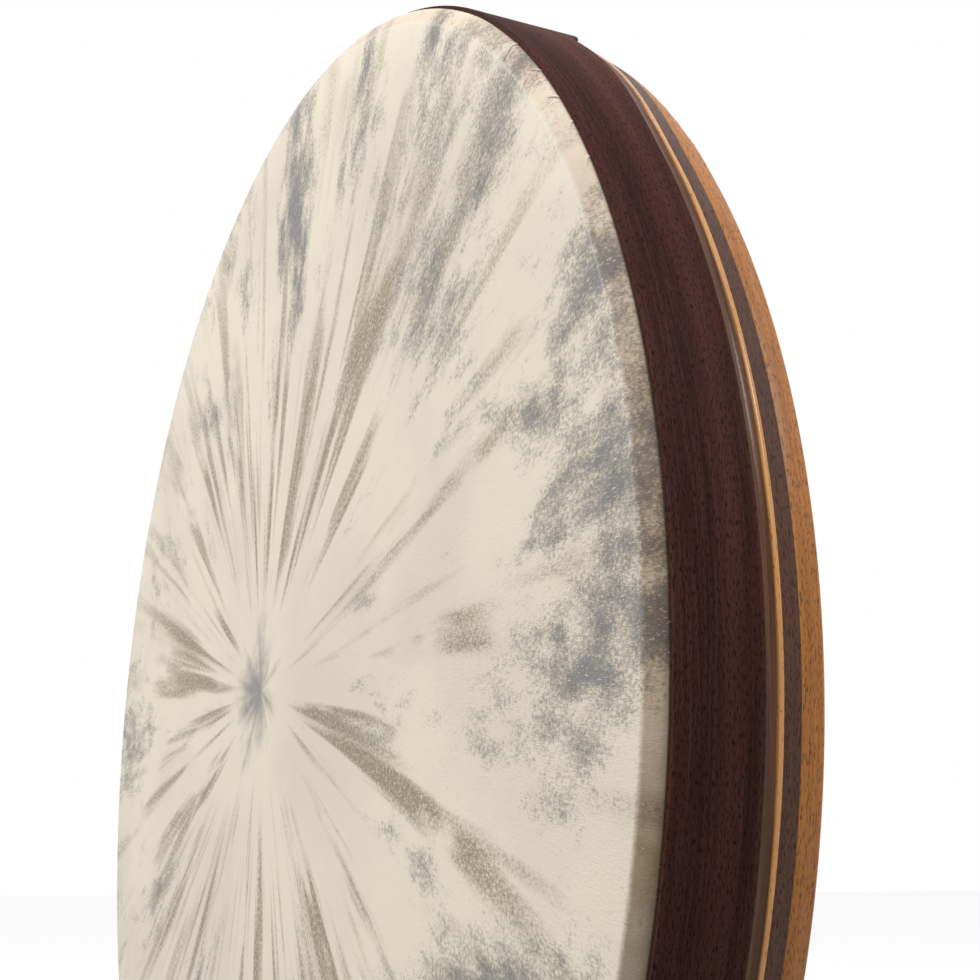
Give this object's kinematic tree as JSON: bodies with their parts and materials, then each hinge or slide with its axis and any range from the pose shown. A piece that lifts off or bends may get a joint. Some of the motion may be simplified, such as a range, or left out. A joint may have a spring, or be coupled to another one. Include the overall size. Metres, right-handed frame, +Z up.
{
  "type": "frame drum",
  "caption": "Wide, shallow frame drum (daf) with a goatskin head over a laminated bentwood rim, relieved at its back edge, and small steel rings hung in screw eyes inside it.",
  "frame": {"origin": "on the floor under the middle of the rim, where the drum stands on its lowest facet", "axes": "+Y along the drum's axis from the skin to the open back, +Z up, the land of the back edge at the top"},
  "size_m": [0.4996, 0.05, 0.4995],
  "materials": {
    "goatskin": "natural, thin and translucent",
    "rosewood": "satin",
    "gold_wood": "polished",
    "dark_wood": "satin",
    "honey_wood": "satin",
    "steel": "bright"
  },
  "bodies": {
    "rim": {"goatskin_head": "goatskin", "dark_hoop": "rosewood", "gold_hoop": "gold_wood", "dark_ply": "dark_wood", "rim_core": "honey_wood", "screw_eye_01": "steel", "screw_eye_02": "steel", "screw_eye_03": "steel", "screw_eye_04": "steel", "screw_eye_05": "steel", "screw_eye_06": "steel", "screw_eye_07": "steel", "screw_eye_08": "steel", "screw_eye_09": "steel", "screw_eye_10": "steel", "screw_eye_11": "steel", "screw_eye_12": "steel", "screw_eye_13": "steel", "screw_eye_14": "steel", "screw_eye_15": "steel", "screw_eye_16": "steel", "screw_eye_17": "steel", "screw_eye_18": "steel", "screw_eye_19": "steel", "screw_eye_20": "steel", "screw_eye_21": "steel", "screw_eye_22": "steel", "screw_eye_23": "steel", "screw_eye_24": "steel"},
    "jingle_01": {"jingle_ring_01": "steel"},
    "jingle_02": {"jingle_ring_02": "steel"},
    "jingle_03": {"jingle_ring_03": "steel"},
    "jingle_04": {"jingle_ring_04": "steel"},
    "jingle_05": {"jingle_ring_05": "steel"},
    "jingle_06": {"jingle_ring_06": "steel"},
    "jingle_07": {"jingle_ring_07": "steel"},
    "jingle_08": {"jingle_ring_08": "steel"},
    "jingle_09": {"jingle_ring_09": "steel"},
    "jingle_10": {"jingle_ring_10": "steel"},
    "jingle_11": {"jingle_ring_11": "steel"},
    "jingle_12": {"jingle_ring_12": "steel"},
    "jingle_13": {"jingle_ring_13": "steel"},
    "jingle_14": {"jingle_ring_14": "steel"},
    "jingle_15": {"jingle_ring_15": "steel"},
    "jingle_16": {"jingle_ring_16": "steel"},
    "jingle_17": {"jingle_ring_17": "steel"},
    "jingle_18": {"jingle_ring_18": "steel"},
    "jingle_19": {"jingle_ring_19": "steel"},
    "jingle_20": {"jingle_ring_20": "steel"},
    "jingle_21": {"jingle_ring_21": "steel"},
    "jingle_22": {"jingle_ring_22": "steel"},
    "jingle_23": {"jingle_ring_23": "steel"},
    "jingle_24": {"jingle_ring_24": "steel"}
  },
  "joints": [
    {"name": "jingle_swing_01", "type": "hinge", "parent": "rim", "child": "jingle_01", "pos_m": [0, 0.0015, 0.4718], "axis": [0, -1, 0], "range_deg": [-105.21, 105.21]},
    {"name": "jingle_swing_02", "type": "hinge", "parent": "rim", "child": "jingle_02", "pos_m": [-0.05747, 0.0015, 0.46424], "axis": [0, -1, 0], "range_deg": [-90.21, 120.21]},
    {"name": "jingle_swing_03", "type": "hinge", "parent": "rim", "child": "jingle_03", "pos_m": [-0.11102, 0.0015, 0.44205], "axis": [0, -1, 0], "range_deg": [-75.21, 135.21]},
    {"name": "jingle_swing_04", "type": "hinge", "parent": "rim", "child": "jingle_04", "pos_m": [-0.15701, 0.0015, 0.40677], "axis": [0, -1, 0], "range_deg": [-60.21, 150.21]},
    {"name": "jingle_swing_05", "type": "hinge", "parent": "rim", "child": "jingle_05", "pos_m": [-0.19229, 0.0015, 0.36078], "axis": [0, -1, 0], "range_deg": [-45.21, 165.21]},
    {"name": "jingle_swing_06", "type": "hinge", "parent": "rim", "child": "jingle_06", "pos_m": [-0.21447, 0.0015, 0.30723], "axis": [0, -1, 0], "range_deg": [-30.21, 180.21]},
    {"name": "jingle_swing_07", "type": "hinge", "parent": "rim", "child": "jingle_07", "pos_m": [-0.22204, 0.0015, 0.24976], "axis": [0, -1, 0], "range_deg": [-15.21, 195.21]},
    {"name": "jingle_swing_08", "type": "hinge", "parent": "rim", "child": "jingle_08", "pos_m": [-0.21447, 0.0015, 0.19229], "axis": [0, -1, 0], "range_deg": [-0.21, 210.21]},
    {"name": "jingle_swing_09", "type": "hinge", "parent": "rim", "child": "jingle_09", "pos_m": [-0.19229, 0.0015, 0.13874], "axis": [0, -1, 0], "range_deg": [0, 210.41]},
    {"name": "jingle_swing_10", "type": "hinge", "parent": "rim", "child": "jingle_10", "pos_m": [-0.15701, 0.0015, 0.09276], "axis": [0, -1, 0], "range_deg": [0, 210.41]},
    {"name": "jingle_swing_11", "type": "hinge", "parent": "rim", "child": "jingle_11", "pos_m": [-0.11102, 0.0015, 0.05747], "axis": [0, -1, 0], "range_deg": [0, 210.41]},
    {"name": "jingle_swing_12", "type": "hinge", "parent": "rim", "child": "jingle_12", "pos_m": [-0.05747, 0.0015, 0.03529], "axis": [0, -1, 0], "range_deg": [0, 210.41]},
    {"name": "jingle_swing_13", "type": "hinge", "parent": "rim", "child": "jingle_13", "pos_m": [0, 0.0015, 0.02772], "axis": [0, -1, 0], "range_deg": [0, 210.41]},
    {"name": "jingle_swing_14", "type": "hinge", "parent": "rim", "child": "jingle_14", "pos_m": [0.05747, 0.0015, 0.03529], "axis": [0, -1, 0], "range_deg": [-210.41, 0]},
    {"name": "jingle_swing_15", "type": "hinge", "parent": "rim", "child": "jingle_15", "pos_m": [0.11102, 0.0015, 0.05747], "axis": [0, -1, 0], "range_deg": [-210.41, 0]},
    {"name": "jingle_swing_16", "type": "hinge", "parent": "rim", "child": "jingle_16", "pos_m": [0.15701, 0.0015, 0.09276], "axis": [0, -1, 0], "range_deg": [-210.41, 0]},
    {"name": "jingle_swing_17", "type": "hinge", "parent": "rim", "child": "jingle_17", "pos_m": [0.19229, 0.0015, 0.13874], "axis": [0, -1, 0], "range_deg": [-210.41, 0]},
    {"name": "jingle_swing_18", "type": "hinge", "parent": "rim", "child": "jingle_18", "pos_m": [0.21447, 0.0015, 0.19229], "axis": [0, -1, 0], "range_deg": [-210.21, 0.21]},
    {"name": "jingle_swing_19", "type": "hinge", "parent": "rim", "child": "jingle_19", "pos_m": [0.22204, 0.0015, 0.24976], "axis": [0, -1, 0], "range_deg": [-195.21, 15.21]},
    {"name": "jingle_swing_20", "type": "hinge", "parent": "rim", "child": "jingle_20", "pos_m": [0.21447, 0.0015, 0.30723], "axis": [0, -1, 0], "range_deg": [-180.21, 30.21]},
    {"name": "jingle_swing_21", "type": "hinge", "parent": "rim", "child": "jingle_21", "pos_m": [0.19229, 0.0015, 0.36078], "axis": [0, -1, 0], "range_deg": [-165.21, 45.21]},
    {"name": "jingle_swing_22", "type": "hinge", "parent": "rim", "child": "jingle_22", "pos_m": [0.15701, 0.0015, 0.40677], "axis": [0, -1, 0], "range_deg": [-150.21, 60.21]},
    {"name": "jingle_swing_23", "type": "hinge", "parent": "rim", "child": "jingle_23", "pos_m": [0.11102, 0.0015, 0.44205], "axis": [0, -1, 0], "range_deg": [-135.21, 75.21]},
    {"name": "jingle_swing_24", "type": "hinge", "parent": "rim", "child": "jingle_24", "pos_m": [0.05747, 0.0015, 0.46424], "axis": [0, -1, 0], "range_deg": [-120.21, 90.21]}
  ]
}
